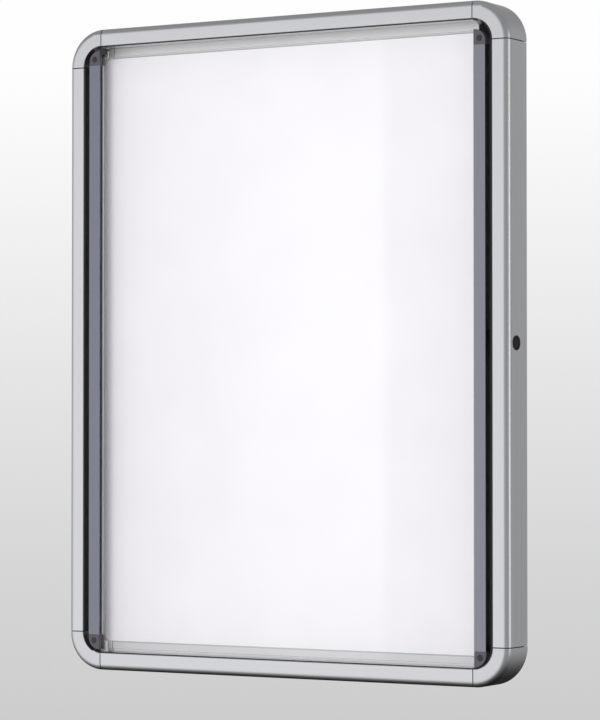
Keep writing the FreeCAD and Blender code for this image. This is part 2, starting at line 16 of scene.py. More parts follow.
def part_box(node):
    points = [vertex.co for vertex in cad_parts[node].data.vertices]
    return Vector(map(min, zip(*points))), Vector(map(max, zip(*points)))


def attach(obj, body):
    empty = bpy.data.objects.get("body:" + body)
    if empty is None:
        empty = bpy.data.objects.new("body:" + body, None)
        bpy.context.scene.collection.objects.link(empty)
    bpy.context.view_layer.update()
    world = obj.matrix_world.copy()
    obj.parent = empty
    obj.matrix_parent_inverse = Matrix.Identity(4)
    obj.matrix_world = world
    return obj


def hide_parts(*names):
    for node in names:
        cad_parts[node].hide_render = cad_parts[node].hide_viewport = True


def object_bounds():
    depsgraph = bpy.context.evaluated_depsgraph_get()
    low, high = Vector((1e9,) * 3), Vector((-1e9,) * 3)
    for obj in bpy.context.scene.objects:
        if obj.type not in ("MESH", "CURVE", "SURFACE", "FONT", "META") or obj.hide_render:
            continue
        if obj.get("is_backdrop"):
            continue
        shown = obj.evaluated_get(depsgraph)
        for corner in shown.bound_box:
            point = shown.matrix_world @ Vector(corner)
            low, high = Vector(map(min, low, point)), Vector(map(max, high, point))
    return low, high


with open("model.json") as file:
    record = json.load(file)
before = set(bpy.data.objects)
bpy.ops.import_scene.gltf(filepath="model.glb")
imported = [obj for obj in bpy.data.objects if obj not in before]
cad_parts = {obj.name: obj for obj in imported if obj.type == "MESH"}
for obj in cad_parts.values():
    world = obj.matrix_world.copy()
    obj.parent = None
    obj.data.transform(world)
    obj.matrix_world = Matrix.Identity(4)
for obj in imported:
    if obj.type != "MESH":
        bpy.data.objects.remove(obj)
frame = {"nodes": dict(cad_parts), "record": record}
nodes = frame["nodes"]
cad_low, cad_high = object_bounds()
mm = 0.001
print("case", [round(v / mm) for v in cad_high - cad_low], "mm")

# %% [markdown]
# ## Places on the case
# Finishes change and edges are rounded at a few planes of the case. They follow from the
# frame's own box and from the widths that the case's section has.

# %% Work out the planes that the finishes and the rounded edges share
half_width = -cad_low.x
half_height = cad_high.z
front = cad_low.y
face_width = 18.0 * mm
rail_face = front + 24.5 * mm
opening_side = half_width - face_width
opening_top = half_height - face_width
stile_outer_side = opening_side - 7.0 * mm
corner_reach = 39.0 * mm
corner_centre = (half_width - corner_reach, half_height - corner_reach)
opening_radius = corner_reach - face_width
print("opening", round(2 * opening_side / mm), "by", round(2 * opening_top / mm), "mm")

# %% [markdown]
# ## Camera
# A long lens from the right and a little below the middle gives the photograph's flat view.
# The lens is found from the picture's height in pixels, because that is its longer side.

# %% Place the camera
picture_height_px = 720
focal_length_px = 3081
long_side_mm = 36.0
camera_place = Vector((1.578, -2.696, -0.082))
camera_turn = math.radians(30.34)
camera_tilt = math.radians(1.26)

camera_data = bpy.data.cameras.new("camera")
camera_data.sensor_width = long_side_mm
camera_data.lens = long_side_mm * focal_length_px / picture_height_px
camera = bpy.data.objects.new("camera", camera_data)
camera.location = camera_place
camera.rotation_euler = (math.pi / 2 + camera_tilt, 0, camera_turn)
bpy.context.scene.collection.objects.link(camera)
bpy.context.scene.camera = camera
print("lens", round(camera_data.lens), "mm")

# %% [markdown]
# ## Shader sums
# Long chains of nodes are hard to read, so one small class wraps a socket. Arithmetic on it
# adds Math nodes, and add() makes any other node from its type, its settings and its inputs.

# %% A socket that can be used in sums
class Signal:
    """One output of a node. Sums on it add Math nodes to the same tree."""

    def __init__(self, tree, output=None):
        self.tree = tree
        self.output = output

    def add(self, kind, settings=None, inputs=None, out=0):
        node = self.tree.nodes.new(kind)
        for name, value in (settings or {}).items():
            if name == "stops":
                set_stops(node.color_ramp, value)
            else:
                setattr(node, name, value)
        for name, value in (inputs or {}).items():
            if isinstance(value, Signal):
                self.tree.links.new(value.output, node.inputs[name])
            else:
                node.inputs[name].default_value = value
        return Signal(self.tree, node.outputs[out] if node.outputs else None)

    def maths(self, operation, first, second):
        return self.add("ShaderNodeMath", {"operation": operation}, {0: first, 1: second})

    def __add__(self, other):
        return self.maths("ADD", self, other)

    def __sub__(self, other):
        return self.maths("SUBTRACT", self, other)

    def __rsub__(self, other):
        return self.maths("SUBTRACT", other, self)

    def __mul__(self, other):
        return self.maths("MULTIPLY", self, other)

    __radd__ = __add__

    def scale(self, colour, factor):
        """A colour times one signal."""
        return self.add("ShaderNodeVectorMath", {"operation": "SCALE"}, {0: colour, 3: factor})

    def blend(self, first, second):
        """A colour between two, by this signal."""
        return self.add("ShaderNodeMix", {"data_type": "RGBA"}, {0: self, 6: first, 7: second}, 2)

    def step(self, low, high):
        """0 below the first value, 1 above the second, and a smooth rise between."""
        return self.add("ShaderNodeMapRange", {"interpolation_type": "SMOOTHSTEP"},
                        {0: self, 1: low, 2: high})

    def ramp(self, *stops):
        """This signal's value read off a ramp of (place, colour) stops."""
        return self.add("ShaderNodeValToRGB", {"stops": stops}, {0: self})


def set_stops(ramp, stops):
    """Gives a colour ramp its stops; a plain number stands for a grey."""
    while len(ramp.elements) < len(stops):
        ramp.elements.new(1.0)
    for element, (place, colour) in zip(ramp.elements, stops):
        element.position = place
        element.color = grey(colour)


def grey(value):
    """A number or three as a colour with full alpha."""
    if isinstance(value, (int, float)):
        value = (value, value, value)
    return (*value, 1.0)


# %% [markdown]
# ## Studio
# The photograph's backdrop is a plain gradient, white at the top and light grey at the bottom,
# so the world paints it by the height of the view. Metal and glass see the same backdrop behind
# the board, and a painted room all round it: a broad softbox at the front left, dim walls, a
# dark floor. Soft surfaces are lit by an even white instead, so that their colours stay true.
# A height runs from -1, straight down, to 1, straight up, and a turn is in degrees.

# %% Read the view direction as a height and a turn
world = bpy.data.worlds.new("studio")
bpy.context.scene.world = world
world.use_nodes = True
world.node_tree.nodes.clear()
sky = Signal(world.node_tree)
direction = sky.add("ShaderNodeTexCoord")
sideways, inward, height = (
    sky.add("ShaderNodeSeparateXYZ", inputs={0: direction}, out=axis) for axis in range(3))
turn = sky.maths("ARCTAN2", sideways, 0 - inward) * math.degrees(1)
print("turn is 0 degrees at the front and grows towards the right")

# %% Paint the room, with the softbox in front
room_stops = ((0.0, 0.03), (0.22, 0.05), (0.36, 0.16), (0.50, 0.33), (0.75, 0.27), (1.0, 0.30))
room = (height * 0.5 + 0.5).ramp(*room_stops)

softbox_stops = ((0.0, 0.33), (0.29, 0.36), (0.33, 0.82), (0.475, 0.85), (0.493, 0.57),
                 (0.515, 0.34), (0.70, 0.33), (0.85, 0.32), (1.0, 0.32))
softbox_foot = (-0.95, -0.12)
softbox_top = (0.06, 0.48)
softbox_level = (turn * (1 / 360) + 0.5).ramp(*softbox_stops)
in_front = height.step(*softbox_foot) * (1 - height.step(*softbox_top))
studio = in_front.blend(room, softbox_level)
print("softbox stops", len(softbox_stops))

# %% Darken the room behind the board and add a bright strip
# The room darkens downwards, and sooner at the left than at the right.
side_share = 0.5
dark_heights = (-0.60, 0.11)
behind_board = (0.0, 0.4)
lit_behind = (height + sideways * side_share).step(*dark_heights)
studio = sky.scale(studio, 1 - inward.step(*behind_board) * (1 - lit_behind))

# The strip is brightest at its right edge, which shows in the pane as a soft upright line.
# Most of its light ends in the first fall and the rest in the second.
strip_level = 1.0
strip_rise = (-33.4, -29.9)
first_fall = (-28.9, -28.6)
second_fall = (-28.6, -27.8)
first_share = 0.8
strip_foot = (-0.12, -0.02)
strip_top = (0.05, 0.16)
end_dimming = 0.6
fallen = turn.step(*first_fall) * first_share + turn.step(*second_fall) * (1 - first_share)
strip = turn.step(*strip_rise) * (1 - fallen) * (1 - height.step(*strip_top) * end_dimming)
strip = strip * (1 - end_dimming + height.step(*strip_foot) * end_dimming)

studio_tint = (0.97, 0.98, 1.0)
lit = sky.add("ShaderNodeVectorMath", {"operation": "ADD"}, {0: studio, 1: strip * strip_level})
studio = sky.add("ShaderNodeVectorMath", {"operation": "MULTIPLY"}, {0: lit, 1: studio_tint})
print("strip between turns", strip_rise[0], "and", second_fall[1])

# %% Paint the backdrop
backdrop_stops = ((0.0, 0.60), (0.2, 0.66), (0.48, 0.78), (0.72, 0.90), (0.9, 0.99))
backdrop_low = -0.10
backdrop_high = 0.14
backdrop_side = Vector((-0.505, 0.863, 0.0))
backdrop_spread = (0.55, 0.90)
backdrop_foot = (-0.17, -0.11)
backdrop_top = (0.20, 0.40)
share = (height - backdrop_low) * (1 / (backdrop_high - backdrop_low))
backdrop = share.ramp(*backdrop_stops)
behind = sky.add("ShaderNodeVectorMath", {"operation": "DOT_PRODUCT"},
                 {0: direction, 1: backdrop_side}, 1).step(*backdrop_spread)
behind = behind * height.step(*backdrop_foot) * (1 - height.step(*backdrop_top))
mirrored_world = behind.blend(studio, backdrop)
print("backdrop from", backdrop_stops[0][1], "to", backdrop_stops[-1][1])

# %% Send each kind of ray to its own part of the studio
soft_light = 0.60
path = world.node_tree.nodes.new("ShaderNodeLightPath")
seen = Signal(world.node_tree, path.outputs["Is Camera Ray"])
for kind in ("Is Glossy Ray", "Is Transmission Ray"):
    seen = seen.maths("MAXIMUM", seen, Signal(world.node_tree, path.outputs[kind]))
light = seen.blend(grey(soft_light), mirrored_world)
surface = sky.add("ShaderNodeBackground", inputs={"Color": light})
sky.add("ShaderNodeOutputWorld", inputs={"Surface": surface})
print("world nodes", len(world.node_tree.nodes))

# %% [markdown]
# ## Lamps
# One very wide soft lamp in front lights the white back and leaves a faint shadow beside the
# left stile. It isn't mirrored, because the painted softbox is what the metal shows. A tall
# strip at the right draws the bright line down the frame's rounded edge.

# %% Hang the lamps
def softbox(name, place, size, watts, mirrored=True):
    lamp = bpy.data.lights.new(name, "AREA")
    lamp.shape = "RECTANGLE"
    lamp.size, lamp.size_y = size
    lamp.energy = watts
    box = bpy.data.objects.new(name, lamp)
    box.location = place
    box.rotation_euler = (-Vector(place)).to_track_quat("-Z", "Y").to_euler()
    box.visible_camera = False
    box.visible_glossy = mirrored
    box.visible_transmission = mirrored
    bpy.context.scene.collection.objects.link(box)


softbox("key_softbox", place=(0.8, -4.9, 0.7), size=(3.7, 2.6), watts=142.0, mirrored=False)
softbox("side_strip", place=(1.6, 0.1, 0.05), size=(0.55, 1.3), watts=2.2)
print("lamps", [thing.name for thing in bpy.data.lights])

# %% Lay a pale floor under the board
floor_drop = 0.45
floor_radius = 3.0
floor_sides = 96
floor_fade = (1.0, 2.8)
floor_grey = 0.62
floor_mesh = bpy.data.meshes.new("floor")
disc = bmesh.new()
bmesh.ops.create_circle(disc, cap_ends=True, radius=floor_radius, segments=floor_sides)
disc.to_mesh(floor_mesh)
disc.free()
floor_mesh.transform(Matrix.Translation((0, 0, cad_low.z - floor_drop)))
floor = bpy.data.objects.new("floor", floor_mesh)
bpy.context.scene.collection.objects.link(floor)
floor.visible_glossy = False
floor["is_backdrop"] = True
print("floor at", round(cad_low.z - floor_drop, 3), "m")

# %% Give the floor a pale surface that fades out towards its rim
floor_material = bpy.data.materials.new("pale_floor")
floor_material.use_nodes = True
floor_material.node_tree.nodes.clear()
ground = Signal(floor_material.node_tree)
place = ground.add("ShaderNodeTexCoord", out=3)
flat_place = ground.add("ShaderNodeVectorMath", {"operation": "MULTIPLY"}, {0: place, 1: (1, 1, 0)})
distance = ground.add("ShaderNodeVectorMath", {"operation": "LENGTH"}, {0: flat_place}, 1)
fade = ground.add("ShaderNodeMapRange", {"interpolation_type": "SMOOTHSTEP"},
                  {0: distance, 1: floor_fade[0], 2: floor_fade[1], 3: 1.0, 4: 0.0})
ground_surface = ground.add("ShaderNodeBsdfPrincipled",
                            inputs={"Base Color": grey(floor_grey), "Roughness": 0.9,
                                    "Alpha": fade})
ground.add("ShaderNodeOutputMaterial", inputs={"Surface": ground_surface})
floor_mesh.materials.append(floor_material)
print("floor fades from", floor_fade[0], "to", floor_fade[1], "m")

# %% [markdown]
# ## Finishes
# Every finish is made from noise on Object coordinates, so it stays put when the door swings.
# The noise moves a colour or a roughness evenly up and down about the level that is given.

# %% Helpers that start a material, feed it and vary it by noise
grain_depth = 0.02 * mm


def finish(name, **constants):
    """A new material, its first signal and its Principled node, with the constants set on it."""
    material = bpy.data.materials.new(name)
    material.use_nodes = True
    tree = material.node_tree
    principled = tree.nodes["Principled BSDF"]
    for key, value in constants.items():
        principled.inputs[key.replace("_", " ")].default_value = value
    return material, Signal(tree), principled


def feed(principled, **signals):
    for key, signal in signals.items():
        principled.id_data.links.new(signal.output, principled.inputs[key.replace("_", " ")])


def object_axes(start):
    """The three Object coordinates as signals."""
    spot = start.add("ShaderNodeTexCoord", out=3)
    return [start.add("ShaderNodeSeparateXYZ", inputs={0: spot}, out=axis) for axis in range(3)]


def noise(start, scale, stretch=(1, 1, 1), detail=2.0):
    """Noise from 0 to 1 over the object, drawn out along an axis by a small stretch number."""
    spot = start.add("ShaderNodeTexCoord", out=3)
    spot = start.add("ShaderNodeMapping", inputs={"Vector": spot, "Scale": stretch})
    return start.add("ShaderNodeTexNoise",
                     inputs={"Vector": spot, "Scale": scale, "Detail": detail, "Roughness": 0.5})


def vary(level, *parts):
    """A level with noise about it: each (noise, share) moves it by half its share each way."""
    signal = level - sum(share for part, share in parts) / 2
    for part, share in parts:
        signal = part * share + signal
    return signal


def bump(start, relief, strength):
    return start.add("ShaderNodeBump",
                     inputs={"Height": relief, "Distance": grain_depth, "Strength": strength})


# %% Satin aluminium, drawn along one axis
line_scale = 900.0
streak_scale = 260.0
cloud_scale = 9.0
drawn_out = 0.01
metal_roughness = 0.32


def drawn_metal(name, colour, along, roughness, inside=None):
    """Fine die lines run along the extrusion, with broader faint streaks and clouds over them.

    inside takes the metal's signals and changes them where another finish lies.
    """
    material, start, principled = finish(name, Metallic=1.0)
    stretch = tuple(drawn_out if axis == along else 1.0 for axis in "XYZ")
    lines = noise(start, line_scale, stretch, 3.0)
    streaks = noise(start, streak_scale, stretch, 1.0)
    cloud = noise(start, cloud_scale)
    base = start.scale(colour, vary(1.0, (lines, 0.05), (streaks, 0.09), (cloud, 0.05)))
    sheen = vary(roughness, (lines, 0.06), (streaks, 0.05), (cloud, 0.04))
    if inside:
        base, sheen, metallic = inside(start, base, sheen)
        feed(principled, Metallic=metallic)
    feed(principled, Base_Color=base, Roughness=sheen, Normal=bump(start, lines, 0.6))
    return material


stile_colour = (0.27, 0.28, 0.33)
stile_metal = drawn_metal("stile_metal", stile_colour, "Z", metal_roughness)
print("stile colour", stile_colour)

# %% The bars' rails with a painted shade line, and the lock stile's side in painted shade
frame_colour = (0.80, 0.80, 0.815)
rail_grey = 0.84
rail_dulling = 0.65
rail_roughening = 0.22
rail_cover = 1.0 * mm
lip_shade_from_edge = 9.8 * mm
# The level bars' lip grey is darker than their rail: painted shade, a shadow line along the rail's
# inner edge. The uprights get none.
level_lip_shade_grey = 0.58
# The lock stile takes a lighter copy of the stile's colour: painted light for the brighter lock
# side.
lock_stile_lit_colour = (0.315, 0.315, 0.355)
# Painted shade: the lock stile's outer side is painted near black for the shadow in the slot.
side_shade_grey = 0.008


def dull_rail(axis, edge, lip_grey):
    """The rail inside a bar has a duller mill finish than the face, and lip_grey paints a shade
    line along its inner edge.
    """
    cover = edge + rail_cover
    lip_shade_edge = edge - lip_shade_from_edge

    def inside(start, base, sheen):
        reach = start.maths("ABSOLUTE", object_axes(start)[axis], 0.0)
        rail = object_axes(start)[1].step(rail_face - 0.2 * mm, rail_face)
        rail = rail * (1 - reach.step(cover, cover + 0.1 * mm))
        # Painted shade: the lip grey darkens a strip along the rail's inner edge.
        lip_shade = 1 - reach.step(lip_shade_edge, lip_shade_edge + 0.3 * mm)
        base = rail.blend(base, lip_shade.blend(grey(rail_grey), grey(lip_grey)))
        return base, rail * rail_roughening + sheen, 1 - rail * rail_dulling
    return inside


def painted_shade_side(start, base, sheen):
    """The stile's outer side, which faces the frame across a narrow gap, is painted black: painted
    shade for the shadow in that gap.
    """
    across = object_axes(start)[0]
    side = across.step(stile_outer_side - 0.4 * mm, stile_outer_side - 0.2 * mm)
    return side.blend(base, grey(side_shade_grey)), side * 0.25 + sheen, 1 - side


frame_upright = drawn_metal("frame_upright", frame_colour, "Z", metal_roughness,
                            dull_rail(0, opening_side, rail_grey))
frame_level = drawn_metal("frame_level", frame_colour, "X", metal_roughness,
                          dull_rail(2, opening_top, level_lip_shade_grey))
lock_stile_metal = drawn_metal("lock_stile_metal", lock_stile_lit_colour, "Z", metal_roughness,
                               painted_shade_side)
print("rails lie", round(-rail_face / mm, 1), "mm from the wall")

# %% Mouldings of one finish
moulding_cloud_scale = 14.0


def moulding(name, colour, roughness, grain, metallic=0.0, gloss=0.5):
    """A moulded surface: a very fine grain in the gloss and the relief."""
    material, start, principled = finish(name, Metallic=metallic, Specular_IOR_Level=gloss)
    pits = noise(start, grain, detail=3.0)
    cloud = noise(start, moulding_cloud_scale)
    feed(principled, Base_Color=start.scale(colour, vary(1.0, (cloud, 0.08), (pits, 0.04))),
         Roughness=vary(roughness, (pits, 0.08)), Normal=bump(start, pits, 0.5))
    return material


cap_moulding = moulding("cap_moulding", (0.090, 0.084, 0.100), 0.42, 1800.0)
black_nylon = moulding("black_nylon", (0.02, 0.02, 0.022), 0.45, 1200.0)
grey_nylon = moulding("grey_nylon", (0.12, 0.12, 0.125), 0.45, 1200.0)
black_rubber = moulding("black_rubber", (0.028, 0.028, 0.031), 0.6, 900.0, gloss=0.3)
white_sheet = moulding("white_sheet", (0.905, 0.893, 0.920), 0.38, 300.0, gloss=0.25)
foam_core = moulding("foam_core", (0.55, 0.55, 0.55), 0.8, 700.0)
rear_sheet = moulding("rear_sheet", (0.55, 0.56, 0.57), 0.45, 400.0)
lock_black = moulding("lock_black", (0.009, 0.009, 0.010), 0.40, 900.0, gloss=0.08)
lock_face = moulding("lock_face", (0.018, 0.018, 0.020), 0.40, 900.0, gloss=0.12)
zinc = moulding("zinc", (0.55, 0.55, 0.56), 0.35, 600.0, metallic=1.0)
blued_steel = moulding("blued_steel", (0.10, 0.10, 0.11), 0.30, 600.0, metallic=1.0)
plug_moulding = moulding("plug_moulding", (0.026, 0.025, 0.029), 0.38, 1800.0)
print("materials so far", len(bpy.data.materials))

# %% The corners and the pane's gasket, which change along their depth
corner_grain = 1500.0
gasket_grain = 900.0
# Painted shade: the corners are painted near black behind the caps and in the seams, where shadow
# falls.
corner_shade_front = front + 1.0 * mm
corner_shade_slope = 0.6
corner_shade_grey = 0.011
ledge_roughening = 0.20


def corner_finish(name, colour, roughness):
    """Silver paint outside, a dull ledge inside, and black painted shade behind the caps and in the
    seams.
    """
    material, start, principled = finish(name, Specular_IOR_Level=0.15)
    pits = noise(start, corner_grain, detail=3.0)
    cloud = noise(start, moulding_cloud_scale)
    across, depth, up = object_axes(start)
    side = start.maths("ABSOLUTE", across, 0.0) - corner_centre[0]
    rise = start.maths("ABSOLUTE", up, 0.0) - corner_centre[1]
    from_centre = start.maths("SQRT", side * side + rise * rise, 0.0)
    ledge = 1 - from_centre.step(opening_radius - 0.3 * mm, opening_radius - 0.1 * mm)
    ledge = ledge * (1 - depth.step(rail_face + 0.3 * mm, rail_face + 0.5 * mm))
    # At the left the painted shade starts further out as the ledge goes deeper.
    at_left = 1 - across.step(-corner_centre[0] / 2, corner_centre[0] / 2)
    corner_shade = ledge * (side - at_left * (depth - corner_shade_front) * corner_shade_slope).step(0.0, 0.5 * mm)
    # The spigots and the faces inside the seams are painted black too, as painted shade in the
    # seams.
    spigot = 1 - side.step(0.1 * mm, 0.2 * mm) * rise.step(0.1 * mm, 0.2 * mm)
    corner_shade = corner_shade.maths("MAXIMUM", corner_shade, spigot * (1 - ledge))
    silver = start.scale(colour, vary(1.0, (cloud, 0.06), (pits, 0.04)))
    feed(principled, Base_Color=corner_shade.blend(ledge.blend(silver, grey(rail_grey)), grey(corner_shade_grey)),
         Metallic=(1 - corner_shade) * (1 - ledge * rail_dulling),
         Roughness=ledge * ledge_roughening + vary(roughness, (pits, 0.07)),
         Normal=bump(start, pits, 0.4))
    return material


def gasket_finish(name, lip_grey, lit_foot_grey, split):
    """Gasket with a black front and a pale back against the sheet; the pale back is painted light
    that lifts the shade beside the stile.
    """
    material, start, principled = finish(name)
    pits = noise(start, gasket_grain, detail=3.0)
    lit_foot = object_axes(start)[1].step(split - 0.1 * mm, split + 0.1 * mm)
    feed(principled, Base_Color=lit_foot.blend(grey(lip_grey), grey(lit_foot_grey)),
         Roughness=vary(0.55, (pits, 0.1)), Normal=bump(start, pits, 0.5))
    return material


corner_moulding = corner_finish("corner_moulding", (0.79, 0.79, 0.805), roughness=0.335)
# Its pale back is painted light, lifting the shaded strip beside the stile.
pane_gasket = gasket_finish("pane_gasket", lip_grey=0.010, lit_foot_grey=0.55, split=front + 5.0 * mm)
print("bare part starts", round(-corner_shade_front / mm), "mm from the wall")


# %% Clear acrylic
def clear_acrylic():
    """Clear sheet. Lamps and soft light pass straight through, so that the back is lit."""
    material, start, principled = finish(
        "clear_acrylic", Base_Color=(0.988, 0.985, 0.992, 1.0), Roughness=0.0, IOR=1.49,
        Transmission_Weight=1.0)
    tree = material.node_tree
    rays = tree.nodes.new("ShaderNodeLightPath")
    passing = start.maths("MAXIMUM", Signal(tree, rays.outputs["Is Shadow Ray"]),
                          Signal(tree, rays.outputs["Is Diffuse Ray"]))
    empty = start.add("ShaderNodeBsdfTransparent", inputs={"Color": (0.985, 0.983, 0.987, 1.0)})
    mixed = start.add("ShaderNodeMixShader",
                      inputs={0: passing, 1: Signal(tree, principled.outputs[0]), 2: empty})
    tree.links.new(mixed.output, tree.nodes["Material Output"].inputs["Surface"])
    return material


acrylic = clear_acrylic()
print("material", acrylic.name)

# %% Give every solid its finish
finishes = {
    "frame_left": frame_upright, "frame_right": frame_upright,
    "frame_top": frame_level, "frame_bottom": frame_level,
    "corner_top_left": corner_moulding, "corner_top_right": corner_moulding,
    "corner_bottom_left": corner_moulding, "corner_bottom_right": corner_moulding,
    "magnetic_sheet": white_sheet, "core_board": foam_core, "rear_sheet": rear_sheet,
    "opening_seal": black_rubber, "corner_screws": zinc, "fixing_sleeves": black_nylon,
    "door_buffers": black_rubber, "hinge_bushes": grey_nylon, "hinge_washer": black_nylon,
    "lower_hinge_pin": blued_steel, "upper_hinge_pin": blued_steel,
    "lock_barrel": lock_black, "lock_nut": zinc, "lock_plug": lock_face, "lock_cam": zinc,
    "cam_screw": zinc, "door_pane": acrylic, "hinge_stile": stile_metal,
    "lock_stile": lock_stile_metal, "hinge_side_seals": pane_gasket,
    "lock_side_seals": pane_gasket, "cap_hinge_top": cap_moulding,
    "cap_hinge_bottom": cap_moulding, "cap_lock_top": cap_moulding,
    "cap_lock_bottom": cap_moulding, "cap_screws": zinc, "lift_stop_clip": black_nylon,
    "lock_keeper": zinc, "keeper_screws": zinc,
}
for name, material in finishes.items():
    solid = nodes[name]
    solid.data.materials.clear()
    solid.data.materials.append(material)
print("finished solids", len(finishes), "of", len(nodes))

# %% [markdown]
# ## Softened edges
# Real extrusions and mouldings have no knife edges: a small radius on each one catches the
# light. A solid arrives as loose triangles that mustn't be changed, so each piece here is a
# merged copy with its sharp edges bevelled, and the copy stands for the solid. A weighted
# normal keeps the flat faces looking flat beside the new curves.

# %% Helpers that copy a solid, round its edges and file the piece
rides = {node: body for body, members in frame["record"]["behaviour"]["bodies"].items()
         for node in members}
double_distance = 0.001 * mm
flat_angle = math.radians(0.4)
bevelled_angle = math.radians(32)
creased_angle = math.radians(24)


def merged_copy(name):
    """The solid's triangles in a new mesh, with doubles merged and flat faces joined."""
    source = nodes[name].data.copy()
    if "custom_normal" in source.attributes:
        source.attributes.remove(source.attributes["custom_normal"])
    mesh = bmesh.new()
    mesh.from_mesh(source)
    bpy.data.meshes.remove(source)
    bmesh.ops.remove_doubles(mesh, verts=mesh.verts, dist=double_distance)
    bmesh.ops.dissolve_limit(mesh, angle_limit=flat_angle, verts=mesh.verts, edges=mesh.edges)
    return mesh


def every(edge):
    return True


def round_edges(mesh, width, chosen, steps):
    """Bevels the sharp edges that chosen() accepts."""
    sharp = [edge for edge in mesh.edges if len(edge.link_faces) == 2
             and edge.calc_face_angle() > bevelled_angle and chosen(edge)]
    bmesh.ops.bevel(mesh, geom=sharp, offset=width, offset_type="OFFSET", segments=steps,
                    profile=0.5, affect="EDGES", clamp_overlap=False)
    return len(sharp)


def file_piece(name, mesh, material, solid, even=True, replace=True):
    """Makes an object of the mesh with the given finish, on the body of the solid it belongs to."""
    data = bpy.data.meshes.new(name)
    mesh.to_mesh(data)
    mesh.free()
    data.polygons.foreach_set("use_smooth", [True] * len(data.polygons))
    data.set_sharp_from_angle(angle=creased_angle)
    data.materials.append(material)
    piece = bpy.data.objects.new(name, data)
    bpy.context.scene.collection.objects.link(piece)
    if even:
        piece.modifiers.new("even_shading", "WEIGHTED_NORMAL").keep_sharp = True
    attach(piece, rides[solid])
    if replace:
        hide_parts(solid)
    return piece


def soften(name, *rounds):
    """Copies a solid and bevels it, once for each (width in mm, edges, steps)."""
    mesh = merged_copy(name)
    for width, chosen, steps in rounds:
        count = round_edges(mesh, width * mm, chosen, steps)
    piece = file_piece("soft_" + name, mesh, finishes[name], name)
    print(piece.name, "edges", count, "faces", len(piece.data.polygons))


# %% [markdown]
# ## Frame bars
# The bars butt against the moulded corners with a fine gap, and a rail inside each bar holds
# the white sheet. Two kinds of edge need softening: the sawn ends at the gap, and the rail's
# inner edge, which borders the sheet all round. The rest of the section is round already, and
# the corners come in with all their curves, so they only need their finish.

# %% Soften the bars' ends and the rails' inner edges
seam = 0.6 * mm
rail_inset = 29.0 * mm
plane_tolerance = 0.02 * mm
rail_rounding = 1.2
end_rounding = 0.5


def at_plane(axis, place):
    """True for an edge that lies on one of the two planes at that distance from the middle."""
    return lambda edge: all(
        abs(abs(vert.co[axis]) - place) < plane_tolerance for vert in edge.verts)


def rail_edge(axis, place):
    """True for the edge of a rail that faces the middle of the board, at its front."""
    return lambda edge: at_plane(axis, place)(edge) and all(
        abs(vert.co.y - rail_face) < plane_tolerance for vert in edge.verts)


level_bar = (0, half_width, 2, half_height)
upright_bar = (2, half_height, 0, half_width)
for name, (length_axis, half_length, across_axis, half_across) in (
        ("frame_top", level_bar), ("frame_bottom", level_bar),
        ("frame_left", upright_bar), ("frame_right", upright_bar)):
    soften(name, (rail_rounding, rail_edge(across_axis, half_across - rail_inset), 3),
           (end_rounding, at_plane(length_axis, half_length - corner_reach - seam), 2))

# %% [markdown]
# ## Door
# The stiles are extrusions with crisp but broken edges, and the caps on their ends are mouldings
# with a softer one. The pane is cut sheet: its edges are polished to a small chamfer.

# %% Soften the stiles, the caps and the pane
door_rounding = {"hinge_stile": 0.30, "lock_stile": 0.30, "cap_hinge_top": 0.45,
                 "cap_hinge_bottom": 0.45, "cap_lock_top": 0.45, "cap_lock_bottom": 0.45,
                 "hinge_side_seals": 0.20, "lock_side_seals": 0.20}
pane_chamfer = 0.35
for name, width in door_rounding.items():
    soften(name, (width, every, 2))
soften("door_pane", (pane_chamfer, every, 1))

# %% Soften the clip, the bushes and the lock's own pieces
small_rounding = {"lift_stop_clip": 0.35, "hinge_bushes": 0.20, "lock_barrel": 0.30,
                  "lock_plug": 0.15, "lock_nut": 0.25, "lock_cam": 0.25, "lock_keeper": 0.25}
for name, width in small_rounding.items():
    soften(name, (width, every, 2))

# %% [markdown]
# ## Trees of geometry nodes
# Screws repeat and the seal follows a path, so rules make them better than hand modelling does.
# A tree is built once, with a named input for each size. An object carries the places or the
# path, a modifier runs the tree on it, and the evaluated result becomes a plain mesh.

# %% Helpers that build a tree, set its inputs and keep the result
def start_tree(name, *sizes):
    """A new tree, and its inputs by name: the geometry, the sizes and the finish."""
    tree = bpy.data.node_groups.new(name, "GeometryNodeTree")
    tree.interface.new_socket("Geometry", in_out="INPUT", socket_type="NodeSocketGeometry")
    for size in sizes:
        tree.interface.new_socket(size, in_out="INPUT", socket_type="NodeSocketFloat")
    tree.interface.new_socket("Finish", in_out="INPUT", socket_type="NodeSocketMaterial")
    tree.interface.new_socket("Geometry", in_out="OUTPUT", socket_type="NodeSocketGeometry")
    given = tree.nodes.new("NodeGroupInput")
    return tree, {out.name: Signal(tree, out) for out in given.outputs if out.name}


def end_tree(tree, shape, finish_input):
    """Ends a tree with Realize Instances and Set Material."""
    whole = shape.add("GeometryNodeRealizeInstances", inputs={"Geometry": shape})
    whole = whole.add("GeometryNodeSetMaterial",
                      inputs={"Geometry": whole, "Material": finish_input})
    end = tree.nodes.new("NodeGroupOutput")
    tree.links.new(whole.output, end.inputs[0])


def run_tree(tree, carrier, material, **sizes):
    """Runs the tree on an object that carries places or a path, and returns a plain mesh."""
    carrier_object = bpy.data.objects.new("carrier", carrier)
    bpy.context.scene.collection.objects.link(carrier_object)
    modifier = carrier_object.modifiers.new("rule", "NODES")
    modifier.node_group = tree
    values = {"Finish": material, **{key.replace("_", " "): size for key, size in sizes.items()}}
    for item in tree.interface.items_tree:
        if item.in_out == "INPUT" and item.name in values:
            modifier[item.identifier] = values[item.name]
    bpy.context.view_layer.update()
    evaluated = carrier_object.evaluated_get(bpy.context.evaluated_depsgraph_get())
    mesh = bpy.data.meshes.new_from_object(evaluated)
    carrier_object.modifiers.remove(modifier)
    bpy.data.objects.remove(carrier_object)
    return mesh


